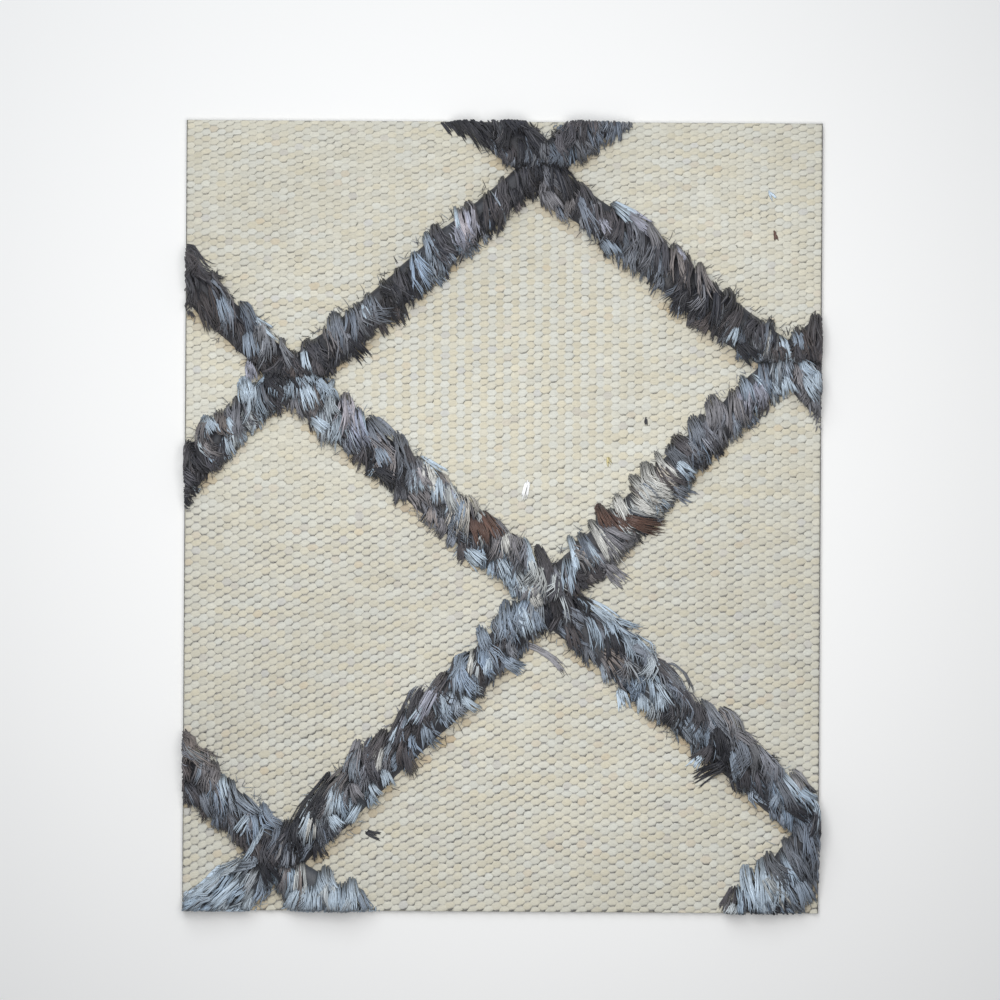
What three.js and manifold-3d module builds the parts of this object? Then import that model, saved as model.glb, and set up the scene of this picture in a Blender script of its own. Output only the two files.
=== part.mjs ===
// A cut length of flat-woven rug, lying flat, with shaggy bands of long locks that cross in a trellis.
// Millimetres. X runs across the width, Y along the warps towards the far end, Z up.
// The origin is on the underside, at the middle of the cut length.
import * as THREE from 'three';
import { mergeVertices } from 'three/addons/utils/BufferGeometryUtils.js';
import Module from 'manifold-3d';

// Ground cloth
const WIDTH = 400;
const LENGTH = 497;
const WARPS = 82;
const RIB_TOP = 4;
const RIB_VALLEY = 3.1;
const STEPS_PER_RIB = 4;

// Pile bands: they lie a hair above the ribs, and another hair apart where they cross.
const GAP = 0.3;
const PILE_HEIGHT = 8.5;
const RIM_THICKNESS = 2.4;
const RIDGE_PITCH = 8;
const RIDGE_RELIEF = 0.13;
const LUMP_LENGTH = 12;
const LUMP_RELIEF = 0.2;
const SCALLOP = 1.8;
const WANDER_LENGTH = 11;
const POINTS_ACROSS = 7;
const OVERRUN = 45;

// Locks at the rims of the bands
const LOCK_WIDTH = 7.5;
const LOCK_THICKNESS = 3.8;
const LOCK_TIP = 0.4;
const LOCK_ROOT_DEPTH = 5;
const LOCK_RINGS = 3;
const LOCK_BEND = 4;
const LOCK_CLEARANCE = 0.6;
const RIMS = [
  { side: 'lower', way: -1, every: RIDGE_PITCH, length: 8.5, lean: 0.5 },
  { side: 'upper', way: 1, every: 1.6 * RIDGE_PITCH, length: 5, lean: -0.6 },
];

// Where the bands cross, and where they run off the cut edges.
const POINTS = {
  top: { x: 23.5, y: 220 },
  left: { x: -134, y: 87 },
  right: { x: 178.5, y: 98.5 },
  middle: { x: 27.5, y: -52 },
  low_left: { x: -140.5, y: -218 },
  low_right: { x: WIDTH / 2, y: -199 },
  end_top_left: { x: -8, y: LENGTH / 2 },
  end_top_right: { x: 57, y: LENGTH / 2 },
  side_left_high: { x: -WIDTH / 2, y: 150 },
  side_left_low: { x: -WIDTH / 2, y: 25 },
  side_right_high: { x: WIDTH / 2, y: 115.5 },
  side_right_low: { x: WIDTH / 2, y: 79.5 },
  side_corner: { x: -WIDTH / 2, y: -158 },
  end_corner: { x: -176, y: -LENGTH / 2 },
  end_bottom_left: { x: -108, y: -LENGTH / 2 },
  end_bottom_right: { x: 161, y: -LENGTH / 2 },
};

// One row for each stretch of band. upper and lower are the distances from its centre line to its rims,
// square to that line, at even steps from the first named point to the second.
const BANDS = [
  { from: 'top', to: 'left', upper: [13, 13, 14, 11, 11, 13], lower: [10, 11, 13, 15, 16, 14] },
  { from: 'top', to: 'right', upper: [8, 9, 14, 13, 13, 15], lower: [20, 19, 18, 20, 20, 15] },
  { from: 'left', to: 'middle', upper: [14, 14, 17, 18, 20, 20], lower: [18, 17, 14, 14, 13, 11] },
  { from: 'right', to: 'middle', upper: [14, 14, 15, 14, 16, 15], lower: [12, 12, 12, 14, 16, 12] },
  { from: 'middle', to: 'low_left', upper: [13, 13, 13, 13, 16, 14], lower: [14, 17, 20, 19, 20, 16] },
  { from: 'middle', to: 'low_right', upper: [14, 20, 17, 17, 20, 15], lower: [18, 14, 15, 13, 14, 14] },
  { from: 'top', to: 'end_top_left', upper: [15, 17, 18], lower: [15, 17, 18] },
  { from: 'top', to: 'end_top_right', upper: [14, 15, 15], lower: [14, 15, 16] },
  { from: 'left', to: 'side_left_high', upper: [14, 13, 14], lower: [14, 15, 17] },
  { from: 'left', to: 'side_left_low', upper: [15, 16, 16], lower: [12, 9, 14] },
  { from: 'right', to: 'side_right_high', upper: [14, 14, 14], lower: [14, 14, 14] },
  { from: 'right', to: 'side_right_low', upper: [14, 14, 14], lower: [14, 16, 18] },
  { from: 'low_left', to: 'side_corner', upper: [18, 20, 18], lower: [10, 13, 16] },
  { from: 'low_left', to: 'end_corner', upper: [15, 17, 20], lower: [12, 14, 15] },
  { from: 'low_left', to: 'end_bottom_left', upper: [12, 18, 24], lower: [12, 16, 18] },
  { from: 'low_right', to: 'end_bottom_right', upper: [20, 18, 20], lower: [20, 22, 24] },
];

const wasm = await Module();
wasm.setup();

const creamWool = new THREE.MeshStandardMaterial({ color: 0xd4cfba, roughness: 0.95, metalness: 0 });
const darkPile = new THREE.MeshStandardMaterial({ color: 0x5b5453, roughness: 0.85, metalness: 0 });

// A repeatable number from 0 to 1 for a whole number.
function chance(index, seed) {
  const wave = Math.sin(index * 12.9898 + seed * 78.233) * 43758.5453;
  return wave - Math.floor(wave);
}

// The same from -1 to 1 and made smooth, for any place along a line.
function drift(place, seed) {
  const cell = Math.floor(place);
  const share = THREE.MathUtils.smoothstep(place - cell, 0, 1);
  return THREE.MathUtils.lerp(chance(cell, seed), chance(cell + 1, seed), share) * 2 - 1;
}

// A value from a row of evenly spaced ones, eased from each to the next.
function along(values, share) {
  const place = THREE.MathUtils.clamp(share, 0, 1) * (values.length - 1);
  const cell = Math.min(Math.floor(place), values.length - 2);
  return THREE.MathUtils.lerp(values[cell], values[cell + 1], THREE.MathUtils.smoothstep(place - cell, 0, 1));
}

function toSolid(geometry) {
  const bare = geometry.clone();
  bare.deleteAttribute('normal');
  bare.deleteAttribute('uv');
  const merged = mergeVertices(bare);
  const mesh = new wasm.Mesh({
    numProp: 3,
    vertProperties: new Float32Array(merged.attributes.position.array),
    triVerts: new Uint32Array(merged.index.array),
  });
  return new wasm.Manifold(mesh);
}

function toGeometry(solid) {
  const mesh = solid.getMesh();
  const geometry = new THREE.BufferGeometry();
  geometry.setAttribute('position', new THREE.BufferAttribute(mesh.vertProperties, 3));
  geometry.setIndex(new THREE.BufferAttribute(mesh.triVerts, 1));
  geometry.computeVertexNormals();
  return geometry;
}

// A closed skin through a row of sections, each a closed ring of the same number of points.
function loft(sections) {
  const ring = sections[0].length;
  const faces = [];
  for (let first = 0; first < (sections.length - 1) * ring; first += ring) {
    for (let i = 0; i < ring; i += 1) {
      const a = first + i;
      const b = first + (i + 1) % ring;
      faces.push(a, b, b + ring, a, b + ring, a + ring);
    }
  }
  const last = (sections.length - 1) * ring;
  for (let i = 1; i + 1 < ring; i += 1) {
    faces.push(0, i + 1, i);
    faces.push(last, last + i, last + i + 1);
  }
  const geometry = new THREE.BufferGeometry().setFromPoints(sections.flat());
  geometry.setIndex(faces);
  return geometry;
}

// The ground: its underside is flat, and its top has one rounded rib over each warp.
function groundCloth() {
  const profile = new THREE.Shape();
  const steps = WARPS * STEPS_PER_RIB;
  profile.moveTo(-WIDTH / 2, 0);
  profile.lineTo(WIDTH / 2, 0);
  for (let i = 0; i <= steps; i += 1) {
    const swell = 0.5 - 0.5 * Math.cos((2 * Math.PI * i) / STEPS_PER_RIB);
    const height = THREE.MathUtils.lerp(RIB_VALLEY, RIB_TOP, swell);
    profile.lineTo(WIDTH / 2 - (WIDTH * i) / steps, height);
  }
  const geometry = new THREE.ExtrudeGeometry(profile, { depth: LENGTH, bevelEnabled: false });
  const mesh = new THREE.Mesh(geometry, creamWool);
  mesh.name = 'ground_cloth';
  mesh.rotation.x = Math.PI / 2;
  mesh.position.y = LENGTH / 2;
  return mesh;
}

// Where the band's rims lie along Y, and how high it stands, at one place across the rug.
function bandAt(band, x) {
  const start = POINTS[band.from];
  const end = POINTS[band.to];
  const share = (x - start.x) / (end.x - start.x);
  const slant = Math.hypot(end.x - start.x, end.y - start.y) / Math.abs(end.x - start.x);
  const middle = THREE.MathUtils.lerp(start.y, end.y, share);
  const ridge = Math.cos((2 * Math.PI * x) / RIDGE_PITCH);
  const upperWander = drift(x / WANDER_LENGTH, band.seed + 1);
  const lowerWander = drift(x / WANDER_LENGTH, band.seed + 2);
  return {
    upper: middle + along(band.upper, share) * slant + SCALLOP * upperWander,
    lower: middle - along(band.lower, share) * slant + SCALLOP * (lowerWander - ridge),
    ridge,
  };
}

// One cut through the band, square to X: flat below and domed above. The rows of tufts make ridges, and
// each point of the dome has lumps of its own.
function bandSection(band, x) {
  const { upper, lower, ridge } = bandAt(band, x);
  const ring = [new THREE.Vector3(x, lower, 0), new THREE.Vector3(x, upper, 0)];
  for (let i = POINTS_ACROSS - 1; i >= 0; i -= 1) {
    const share = i / (POINTS_ACROSS - 1);
    const dome = Math.sin(Math.PI * share) ** 0.55;
    const lump = drift(x / LUMP_LENGTH + i / 2, band.seed + i);
    const rough = 1 + RIDGE_RELIEF * ridge + LUMP_RELIEF * lump;
    const top = RIM_THICKNESS + (PILE_HEIGHT * rough - RIM_THICKNESS) * dome;
    ring.push(new THREE.Vector3(x, THREE.MathUtils.lerp(lower, upper, share), top));
  }
  return ring;
}

// Each band keeps to its own quarter at a crossing, half the gap short of the lines between the quarters.
// Where it runs off an end of the cloth, its cell reaches as far to the side as the band may slant.
function cellOf(band) {
  const start = POINTS[band.from];
  const end = POINTS[band.to];
  const runsOffEnd = band.to.startsWith('end_');
  const meetsBand = !runsOffEnd && !band.to.startsWith('side_');
  const near = { x: Math.sign(end.x - start.x) * GAP / 2, y: Math.sign(end.y - start.y) * GAP / 2 };
  const first = { x: start.x + near.x, y: start.y + near.y };
  const last = { x: end.x - near.x, y: end.y - near.y };
  if (!meetsBand) {
    const overrun = runsOffEnd ? Math.sign(near.x) * OVERRUN : 0;
    last.x = THREE.MathUtils.clamp(end.x + overrun, -WIDTH / 2, WIDTH / 2);
    last.y = Math.sign(near.y) * LENGTH / 2;
  }
  return new THREE.Box2().setFromPoints([
    new THREE.Vector2(first.x, first.y),
    new THREE.Vector2(last.x, last.y),
  ]);
}

// The lumpy slab of one band, with a section at each ridge and each furrow, trimmed to its cell.
function bandSlab(band, cell) {
  const spacing = RIDGE_PITCH / 2;
  const sections = [bandSection(band, cell.min.x)];
  for (let x = Math.ceil(cell.min.x / spacing + 0.2) * spacing; x < cell.max.x - 1; x += spacing) {
    sections.push(bandSection(band, x));
  }
  sections.push(bandSection(band, cell.max.x));
  const size = cell.getSize(new THREE.Vector2());
  const centre = cell.getCenter(new THREE.Vector2());
  const trim = new THREE.BoxGeometry(size.x, size.y, 4 * PILE_HEIGHT);
  trim.translate(centre.x, centre.y, 0);
  return toSolid(loft(sections)).intersect(toSolid(trim));
}

// One tapered lock of three sides. It leaves the slab above its rim, bends sideways and droops until its
// flat side lies level on the cloth.
function lock(root, heading, length, bend) {
  const side = new THREE.Vector2(-heading.y, heading.x);
  const rings = [];
  for (let i = 0; i < LOCK_RINGS; i += 1) {
    const share = i / (LOCK_RINGS - 1);
    const spot = root.clone().addScaledVector(heading, share * length);
    spot.addScaledVector(side, bend * share ** 2);
    const half = (LOCK_WIDTH / 2) * (1 - 0.8 * share ** 1.5);
    const top = THREE.MathUtils.lerp(LOCK_THICKNESS, LOCK_TIP, share ** 1.5);
    rings.push([
      new THREE.Vector3(spot.x - side.x * half, spot.y - side.y * half, 0),
      new THREE.Vector3(spot.x + side.x * half, spot.y + side.y * half, 0),
      new THREE.Vector3(spot.x, spot.y, top),
    ]);
  }
  return loft(rings);
}

// The locks along both rims of a band that fit inside its cell.
function rimLocks(band, cell) {
  const locks = [];
  for (const rim of RIMS) {
    const first = Math.ceil(cell.min.x / rim.every);
    const last = Math.floor(cell.max.x / rim.every);
    for (let i = first; i <= last; i += 1) {
      const x = i * rim.every;
      const luck = chance(i, band.seed + rim.length);
      const heading = new THREE.Vector2(rim.lean * (luck - 0.3), rim.way).normalize();
      const length = LOCK_ROOT_DEPTH + rim.length * (0.7 + 0.6 * luck);
      const root = new THREE.Vector2(x, bandAt(band, x)[rim.side] - rim.way * LOCK_ROOT_DEPTH);
      const geometry = lock(root, heading, length, LOCK_BEND * (luck - 0.5));
      geometry.computeBoundingBox();
      const { min, max } = geometry.boundingBox;
      const reach = new THREE.Box2(new THREE.Vector2(min.x, min.y), new THREE.Vector2(max.x, max.y));
      if (cell.containsBox(reach.expandByScalar(LOCK_CLEARANCE))) {
        locks.push(geometry);
      }
    }
  }
  return locks;
}

function pileBand(band) {
  const cell = cellOf(band);
  let solid = bandSlab(band, cell);
  for (const geometry of rimLocks(band, cell)) {
    solid = solid.add(toSolid(geometry));
  }
  const mesh = new THREE.Mesh(toGeometry(solid), darkPile);
  mesh.name = `pile_${band.from}_to_${band.to}`;
  return mesh;
}

const rug = new THREE.Group();
rug.add(groundCloth());

const pile = new THREE.Group();
pile.position.z = RIB_TOP + GAP;
BANDS.forEach((band, index) => {
  pile.add(pileBand({ ...band, seed: 10 * index }));
});
rug.add(pile);

export default rug;
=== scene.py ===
"""Kilim rug: a cut length of cream weft-faced weave with raised bands of long dark wool locks.

Lengths in the tables are millimetres. +X runs across the rug, +Y along its warps, and the floor is z = 0.
"""
import math
import bpy
import numpy as np
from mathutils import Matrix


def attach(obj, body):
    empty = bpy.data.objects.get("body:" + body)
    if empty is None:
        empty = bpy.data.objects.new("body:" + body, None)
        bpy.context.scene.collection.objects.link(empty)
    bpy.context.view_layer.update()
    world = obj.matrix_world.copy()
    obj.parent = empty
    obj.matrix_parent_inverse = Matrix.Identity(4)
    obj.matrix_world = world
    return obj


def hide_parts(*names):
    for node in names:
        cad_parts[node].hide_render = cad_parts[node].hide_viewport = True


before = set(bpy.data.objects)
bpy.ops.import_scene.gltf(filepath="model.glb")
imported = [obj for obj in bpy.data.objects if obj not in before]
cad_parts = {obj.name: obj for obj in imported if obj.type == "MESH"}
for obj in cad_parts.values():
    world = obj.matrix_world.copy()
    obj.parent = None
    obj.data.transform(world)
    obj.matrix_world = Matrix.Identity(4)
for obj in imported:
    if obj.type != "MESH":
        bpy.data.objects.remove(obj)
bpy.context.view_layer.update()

MM = 0.001

# Sources of chance: for beads and locks, for the curl of whole locks, and for the tufts at the cut.
rng = np.random.default_rng(20)
curl_rng = np.random.default_rng(4)
cut_rng = np.random.default_rng(6)

# Sizes, as in the part's source

WIDTH, LENGTH = 400.0, 497.0
WARPS = 82
RIB = WIDTH / WARPS
WEAVE_TOP = 4.0
EDGE_INSET = 0.4  # how far inside the cut outline the locks are trimmed

POINTS = {
    "top": (23.5, 220), "left": (-134, 87), "right": (178.5, 98.5), "middle": (27.5, -52),
    "low_left": (-140.5, -218), "low_right": (200, -199),
    "end_top_left": (-8, 248.5), "end_top_right": (57, 248.5),
    "side_left_high": (-200, 150), "side_left_low": (-200, 25),
    "side_right_high": (200, 115.5), "side_right_low": (200, 79.5),
    "side_corner": (-200, -158), "end_corner": (-176, -248.5),
    "end_bottom_left": (-108, -248.5), "end_bottom_right": (161, -248.5),
}

# Each band of pile: its node, named after the two points that it joins, the distances from its centre line
# to its upper and lower rims, the headings of its locks at their roots and tips in degrees, and the tones of
# its locks, in the upper layer and the lower one. All are read from its top down.
BANDS = [
    dict(node="pile_top_to_left", upper=[13, 13, 14, 11, 11, 13], lower=[10, 11, 13, 15, 16, 14],
         root=[-85, -75, -70, -75], tip=[-80, -62, -58, -62], over="KDKLDBDKGNDK", under="KDKBGBKDDKKD"),
    dict(node="pile_top_to_right", upper=[8, 9, 14, 13, 13, 15], lower=[20, 19, 18, 20, 20, 15],
         root=[-60, -75, -90, -95, -90], tip=[-60, -95, -110, -115, -110],
         over="KGDDNDNKKDGD", under="NDGKGGKKDGBB"),
    dict(node="pile_left_to_middle", upper=[14, 14, 17, 18, 20, 20], lower=[18, 17, 14, 14, 13, 11],
         root=[-75, -60, -50, -60, -60], tip=[-85, -85, -95, -115, -115],
         over="PPLNGNWWNNWD", under="NPDGKNNGDPPG"),
    dict(node="pile_right_to_middle", upper=[14, 14, 15, 14, 16, 15], lower=[12, 12, 12, 14, 16, 12],
         root=[-85, -90, -80, -75, -65, -70], tip=[-65, -70, -30, -5, -40, -60],
         over="BLNNGDWWNGPN", under="PDGDKPGKNNDN"),
    dict(node="pile_middle_to_low_left", upper=[13, 13, 13, 13, 16, 14], lower=[14, 17, 20, 19, 20, 16],
         root=[-90, -115, -130, -130, -125], tip=[-75, -70, -75, -80, -95],
         over="BBBGDLDBNPKD", under="KGDPBDBNPGKK"),
    dict(node="pile_middle_to_low_right", upper=[14, 20, 17, 17, 20, 15], lower=[18, 14, 15, 13, 14, 14],
         root=[-45, -35, -40, -40, -40], tip=[-75, -85, -90, -85, -75],
         over="KPPDGDGGNGPK", under="DGNBPKBKDBGG"),
    dict(node="pile_top_to_end_top_left", upper=[18, 17, 15], lower=[18, 17, 15],
         root=[-70, -70], tip=[-60, -75], over="KKG", under="KDG"),
    dict(node="pile_top_to_end_top_right", upper=[15, 15, 14], lower=[16, 15, 14],
         root=[-85, -85], tip=[-95, -85], over="DDG", under="GBK"),
    dict(node="pile_left_to_side_left_high", upper=[14, 13, 14], lower=[17, 15, 14],
         root=[-60, -45], tip=[-75, -65], over="DGGGD", under="DKDDD"),
    dict(node="pile_left_to_side_left_low", upper=[15, 16, 16], lower=[12, 9, 14],
         root=[-95, -100], tip=[-60, -35], over="PGNND", under="DPPDK"),
    dict(node="pile_right_to_side_right_high", upper=[14, 14, 14], lower=[14, 14, 14],
         root=[-90, -95], tip=[-70, -80], over="DD", under="DK"),
    dict(node="pile_right_to_side_right_low", upper=[14, 14, 14], lower=[14, 16, 18],
         root=[-70, -70], tip=[-80, -95], over="PP", under="NN"),
    dict(node="pile_low_left_to_side_corner", upper=[18, 20, 18], lower=[16, 13, 10],
         root=[-60, -70], tip=[-80, -110], over="NBBGG", under="DGDD"),
    dict(node="pile_low_left_to_end_corner", upper=[15, 17, 20], lower=[12, 14, 15],
         root=[-120, -130], tip=[-130, -145], over="BPP", under="BPP"),
    dict(node="pile_low_left_to_end_bottom_left", upper=[12, 18, 24], lower=[12, 16, 18],
         root=[-90, -85], tip=[-115, -100], over="NPPP", under="PPPP"),
    dict(node="pile_low_right_to_end_bottom_right", upper=[20, 18, 20], lower=[20, 22, 24],
         root=[-75, -80], tip=[-55, -65], over="GGPP", under="GGBK"),
]
for band in BANDS:
    ends = band["node"].removeprefix("pile_").split("_to_")
    band["low"], band["high"] = sorted(ends, key=lambda end: POINTS[end][1])

# Locks that stand out from the rest, and six specks of lint. Each row: x and y of the root, x and y of the
# tip, width at the tip, tone, and by how many degrees the heading turns on the way, if it does. The dark
# lock rooted at -99, 112 is partly dark wool and partly painted shade under the locks above it.
LOOSE_LOCKS = """
 -31  194  -27  175  4 P
 -25  195  -16  174  7 L
 -49  178  -42  160 10 B 5
 -60  158  -52  142 10 K
 -89  133  -85  121  5 P
-107  128 -103  110 13 G
 -99  112  -88  100 10 K
-125  105 -123   92  5 P
-160  118 -157  100  9 B
-178  140 -172  120  9 B
-158  125 -145  114  4 P
-160   98 -158   86  6 L
-186 -171 -182 -186  9 G 10
-150   91 -140   79 12 K
-138   92 -131   79 10 K
-164   87 -159   72 12 P
-125   84 -119   69 12 P
-107   85 -111   72  5 P
-188   62 -182   52 13 P
-173   62 -167   53 10 P
-101   74  -94   60  6 L -10
-121   62 -111   54  8 P
 -84   62  -74   48 16 G -20
 -80   45  -73   33  9 B -20
 -82   32  -68   22  8 K 10
 -62   46  -57   30  6 D -20
 -56   34  -53   16 12 P -10
 -50   36  -47   19 10 W -20
 -36   20  -30    3  7 L -20
 -51   37  -38   28  4 P -10
 -45   28  -42   16  6 W -20
 -41   26  -41   11  9 P -20
 -36   23  -35    9  5 G -50
 -30   18  -34    3  5 P -30
 -26   13  -27   -4  8 B -30
 -14    3   -5  -13 12 R -15
 -21    1  -14  -15  9 R -15
 -24  -20  -14  -29 11 P
   1   -9    5  -22 10 W -20
  -3  -25    3  -36  8 P -20
  14  -14   16  -39  6 P -55
  22  -18   29  -40  8 D -25
  17  -41   23  -56 10 W
   2  -53    3  -70 10 B
  11  -54   15  -72 10 P
  20  -57   25  -71  7 B
  36  -56   51  -66 12 G -10
  51  -52   72  -66  7 P -15
  67  -69   71  -86 10 K
  71  -67   79  -70  3 K
  13  -79   39  -96  5 N -45
  63  -28   77  -41  8 N
 150   89  154   74  8 B -10
 157   90  167   78  4 P
 147   82  147   62  4 L -20
 131   77  134   57 14 N -20
 119   64  124   48 12 G
 107   51  122   38 12 D 25
  96   41  109   24  5 W 45
 108   37  118   28  8 P 20
  88   34  105   14 12 W 100
  80   26  104   12  8 W 60
 105   20  117   13  8 G 20
  80   10  102    1  6 W 30
  71   14   77   -1  8 W
  60    8   66   -8  9 R 10
  72    3   98   -6  9 R 35
  66    4   80   -9  9 R 20
  81   14   99    3  5 W 30
  61   -5   80  -16 10 N 10
  49  -12   59  -30  7 P 5
  55   -2   70  -28  8 W 5
  60   -8   75  -26  7 N
  42  -12   48  -32  6 P -5
  26  205   33  194  9 N
  68  197   81  187 10 P
  76  192   90  182 10 L
  58  189   65  178  7 L
  62  175   68  165  9 B
  89  186   97  170  8 N -20
 108  171  114  160  4 L
 146  121  142  111  7 P
 166  121  164  104  4 W
 174  114  177   98  7 P
 146  110  156  100 10 K
 183  118  186  106  9 B
 175   90  179   79  9 P
 187   92  197   79 12 P
 167   85  173   77  4 P
 -14  -69  -10  -81  9 B
 -18  -84  -21 -101  4 W 10
 -23  -86  -27 -109  9 B 40
 -30  -90  -27 -113  3 D 50
 -18  -97  -18 -109  8 B
  -8  -86   -9  -98  6 P 20
   0  -88   12  -96  8 B 20
 -38 -108  -35 -124  5 P 10
 -26 -112  -15 -122  7 P 10
 -39 -105  -53 -126  9 L 10
 -47 -115  -56 -129  6 P
 -48 -130  -46 -142  7 B
 -63 -130  -69 -141  6 P 10
 -74 -143  -79 -157  7 W 20
 -60 -140  -56 -161  7 D 10
 -74 -157  -70 -168  7 P
 -90 -141  -94 -164  8 N 20
 -82 -166  -76 -175  6 P 20
-101 -164 -105 -184  9 P 20
 -93 -165  -88 -177  8 N 20
-108 -162 -125 -196  5 K 20
-104 -164 -118 -187  4 K 20
-117 -186 -121 -202  5 W
-108 -186 -101 -194  8 P
 -88 -180  -94 -191  6 P
-148 -192 -161 -213  4 P -30
-156 -185 -164 -198  7 P -10
-176 -163 -172 -179  8 P
-150 -213 -141 -229 10 K
-174 -221 -197 -245  8 P -10
-160 -224 -182 -246  6 P -10
-125 -230 -133 -247  7 P
-104 -231 -105 -247  8 P
-113 -223 -108 -234 12 P
  77  -80   96  -89  7 G -45
  95  -89  108 -101  7 D -30
  75 -107   77 -118  8 P
  88 -110   89 -122  8 P
  98 -108   99 -120  6 P
 114 -122  123 -138  6 B -20
 133 -128  136 -147  9 K -20
 141 -132  160 -143  7 N -30
 143 -143  148 -161  5 B
 176 -160  188 -174  7 P
 176 -177  192 -187  9 K
 154 -218  158 -245 10 P 15
 177 -224  187 -241  6 B
 168 -218  181 -243  2 W
 164 -214  166 -243 11 P 10
 172 -214  176 -240 10 P -15
 184 -222  194 -243 11 B
 147 -232  141 -247  7 D
 143 -152  122 -165  8 K
 132 -141  125 -152  9 D
 127 -147  121 -156  5 P
 163 -150  173 -152  3 K
 174 -170  170 -180  5 B
 187 -170  196 -172  3 K
 -45  257  -30  244  7 K
 -38  257  -22  239  9 K
 -28  253  -12  234  9 K
 -94 -228  -90 -246  9 P
-116 -231 -117 -247  8 P
 -89 -235  -83 -247  6 B
 181 -205  190 -225  8 G
 -84 -199  -77 -201  5 K
  16   22   14   12  4 F
 167  205  169  202  3 P
 170  180  171  176  2 R
  90   62   90   59  2 K
  66   37   67   34  3 T
"""

# Undyed wool and hair tones, in display values from 0 to 255: black, dark, natural grey, cool grey,
# blue-grey, pale, white, red-brown, lilac-grey, fleece white and tan. Their cool blue cast, strongest in
# blue-grey, pale and lilac-grey, is partly the hair's own colour and partly a painted reflection of cool
# window light on the glossy hair.
TONES = {
    "K": (46, 47, 55), "D": (90, 87, 92), "N": (146, 145, 151), "G": (134, 141, 153),
    "B": (158, 172, 189), "P": (202, 218, 233), "W": (224, 224, 220), "R": (104, 78, 68),
    "L": (182, 184, 200), "F": (246, 247, 248), "T": (212, 200, 150),
}

# Painted shade: towards its root and its tip each strand fades into this dark tone, while a stretch of it
# keeps its own tone as a painted highlight.
PAINTED_LOCK_SHADE = (58, 59, 66)
BRIGHTEST = 0.80  # the most light that a combed strand gives back in any of the three colours

# Tones of the weft beads, in the same terms: their tops, lighter as a painted highlight, warmer tops,
# flanks darker as painted shade, painted shade in the gaps between beads of one warp, and the odd slub.
BEAD_TOP, BEAD_WARM = (213, 213, 204), (212, 206, 186)
BEAD_SHADED_FLANK, BEAD_GAP_SHADE = (206, 203, 191), (176, 174, 173)
SLUB_TAN, SLUB_GREY = (205, 170, 128), (180, 178, 188)
RIM_SHADOW_TINT = (0.82, 0.72, 0.60)  # painted contact shadow below a band's lower rim: the share of each colour that is left there

# Weft beads. Past the middle of the rug the weave is denser, and they are lower and closer together.
BEAD_SPACING = [5.3, 4.9, 4.0]  # between beads of one warp, at the near end, in the middle, at the far end
BEAD_HALF_LENGTH = 0.86  # in ribs
BEAD_HALF_WIDTH, DENSE_WIDER = 0.69, 0.05  # in spacings
BEAD_HALF_HEIGHT, DENSE_LOWER = 0.48, 0.13
DENSE_FROM, DENSE_OVER = -20, 60
BEAD_SINK = 0.55  # how far the middle of a bead lies below the weave's face
BEAD_SLANT, NEAR_LEFT_SLANT = 8, 14  # degrees
BEAD_RINGS = np.array([-0.80, -0.30, 0.30, 0.80])
BEAD_ARCH = np.array([[0, 1.0], [0.45, 0.90], [0.98, 0.15], [-0.98, 0.15], [-0.45, 0.90]])

# Ground sheet under the beads
SHEET_TOP, SHEET_RIB, SHEET_EDGE_RISE = 3.05, 0.35, 0.6
SHEET_STEPS_PER_RIB, SHEET_STATIONS = 3, 14

# Headings of the locks where a band ends at a crossing, at their roots and tips.
CROSSING = (-92, -90)

# Rows of locks: the root's place across the band (1 at the upper rim), length, height in the pile, tones
LAYERS = [
    dict(root=0.80, length=23.0, level=1.00, tones="over"),
    dict(root=0.22, length=21.0, level=0.72, tones="under"),
    dict(root=-0.28, length=16.0, level=0.42, tones="under"),
]
LOCK_SPACING = 8.7
WISPS = 7  # bunches in a lock
WISP_STRANDS = 5
LOOSE_WISP = 1.05  # width of a wisp at the tip of a lock of the table
STRAND_WIDTH = 0.90
FUZZ_WIDTH = 0.42
LOCK_HALF_ROOT = 3.0
LOCK_FAN = 9.0  # degrees, from the middle of a lock to its side
LOCK_CROWN = 2.4  # how much higher its middle is
PILE_RISE = 8.0
ROOT_LEVEL = WEAVE_TOP - 0.8
RISE_OVER = 4.0  # how far a strand goes until it is at its full height
CROSSING_LIFT, LIFT_OVER = 3.2, 16  # how high a band is lifted over a crossing, and from how far off
TURN_FROM, TURN_OVER = 26, 20  # how far off its locks start to turn to those headings, and over how much
OVERRUN = 32.0  # how far a band that meets the outline is combed on past it, before it is trimmed
CROSSING_OVERRUN = 9.0  # the same at a crossing that a band starts from
MAT_WIDTH, MAT_RISE = 0.8, 0.62  # the underwool's share of a band's width and of the pile's height
MAT_BASE = 2.4
PATH_STEPS = 25  # places on each walked path
STRAND_RINGS = np.array([0.0, 0.28, 0.58, 0.86])
STATIONS = np.append(STRAND_RINGS, 1.0)  # where a strand's rings and its tip are along it
CUT_DRAWS, CUT_TUFTS = 5000, 80  # places tried for the tufts at a band's cut ends, and how many are kept
CUT_DEPTH = 4.0  # how far inside the cut they are rooted
SHORT_OWN = np.full(len(STATIONS), 0.7)  # how much of their own tone short hairs and tufts show; the rest is a dull mix with the painted lock shade


# Helpers

def to_linear(rgb):
    """Display value c from 0 to 1 to light: c / 12.92 when dark, else ((c + 0.055) / 1.055) to the 2.4."""
    c = np.asarray(rgb, float) / 255
    return np.where(c <= 0.04045, c / 12.92, ((c + 0.055) / 1.055) ** 2.4)


def smooth_step(x):
    """3 x squared less 2 x cubed, between 0 and 1."""
    x = np.clip(x, 0, 1)
    return x * x * (3 - 2 * x)


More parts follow.
